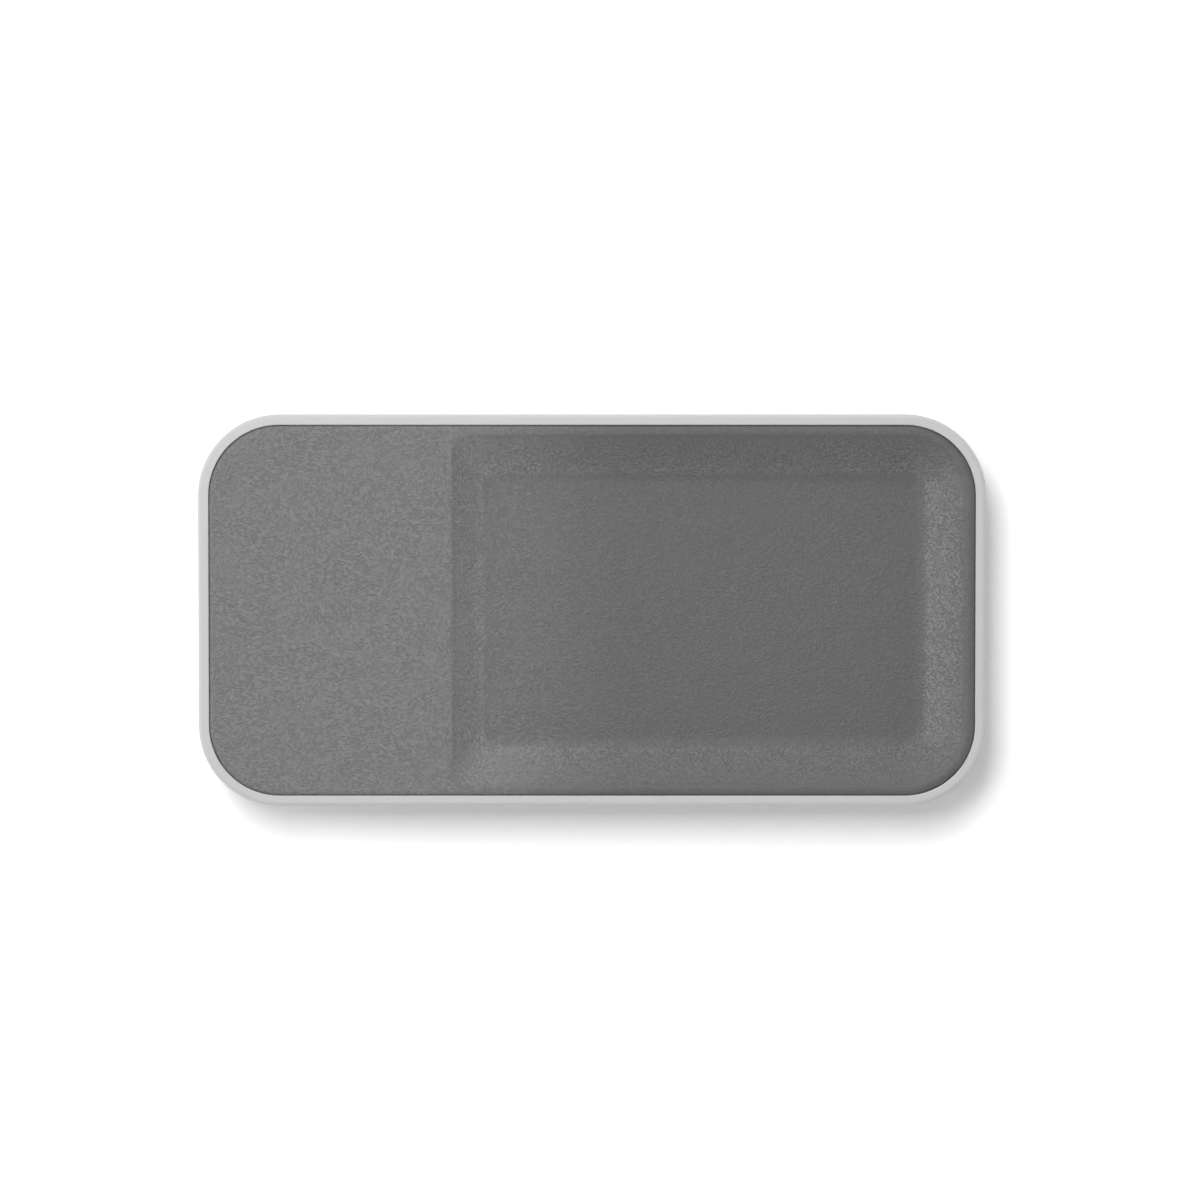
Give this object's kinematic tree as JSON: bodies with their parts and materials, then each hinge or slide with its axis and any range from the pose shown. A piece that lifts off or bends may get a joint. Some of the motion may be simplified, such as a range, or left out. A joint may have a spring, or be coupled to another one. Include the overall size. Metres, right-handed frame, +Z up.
{
  "type": "charging station organizer",
  "caption": "Low lidded desk organizer: leather valet tray with a wireless charging platform on a hinged lid, over a felt-lined base with loose dividers.",
  "frame": {"origin": "centre of the footprint, on the surface that the feet stand on", "axes": "+X along the length, with the charging platform at the -X end; +Y to the rear, where the hinge and the inlet are; +Z up"},
  "size_m": [0.233, 0.116, 0.0375],
  "materials": {
    "light_grey_shell": "fine satin moulded plastic",
    "dark_grey_leather": "pebble-grained synthetic leather, matte",
    "tray_pan": "moulded plastic, unpainted",
    "lid_cover_plastic": "moulded plastic, unpainted",
    "grey_felt": "pressed felt",
    "divider_felt": "pressed felt, firm",
    "zinc_steel": "zinc-plated screws",
    "hinge_steel": "ground stainless pins",
    "enamelled_copper": "enamelled copper wire",
    "ferrite": "sintered ferrite",
    "circuit_board_green": "solder-masked glass-fibre board",
    "chip_black": "moulded epoxy",
    "capacitor_tan": "ceramic body with tinned ends",
    "led_white": "clear-topped lamp body",
    "clear_acrylic": "clear moulded acrylic",
    "port_steel": "drawn stainless shell",
    "port_black": "moulded nylon",
    "magnet_nickel": "nickel-plated magnet",
    "foot_rubber": "matte rubber"
  },
  "bodies": {
    "base": {"base_shell": "light_grey_shell", "base_liner": "grey_felt", "cross_divider_left": "divider_felt", "cross_divider_right": "divider_felt", "lengthwise_divider": "divider_felt", "base_magnet_left": "magnet_nickel", "base_magnet_right": "magnet_nickel", "hinge_pin_left": "hinge_steel", "hinge_pin_right": "hinge_steel", "foot_front_left": "foot_rubber", "foot_front_right": "foot_rubber", "foot_rear_left": "foot_rubber", "foot_rear_right": "foot_rubber"},
    "lid": {"lid_frame": "light_grey_shell", "tray_carrier": "tray_pan", "tray_skin": "dark_grey_leather", "lid_cover": "lid_cover_plastic", "lid_lining": "grey_felt", "lid_screws": "zinc_steel", "inner_screws": "zinc_steel", "charging_coil": "enamelled_copper", "coil_leads": "enamelled_copper", "ferrite_shield": "ferrite", "coil_bracket": "tray_pan", "circuit_board": "circuit_board_green", "control_chips": "chip_black", "board_capacitors": "capacitor_tan", "power_inductor": "chip_black", "status_led": "led_white", "light_pipe": "clear_acrylic", "port_shell": "port_steel", "port_tongue": "port_black", "lid_magnet_left": "magnet_nickel", "lid_magnet_right": "magnet_nickel"}
  },
  "joints": [
    {"name": "lid_hinge", "type": "hinge", "parent": "base", "child": "lid", "pos_m": [0, 0.0554, 0.024], "axis": [-1, 0, 0], "range_deg": [0, 100]}
  ]
}
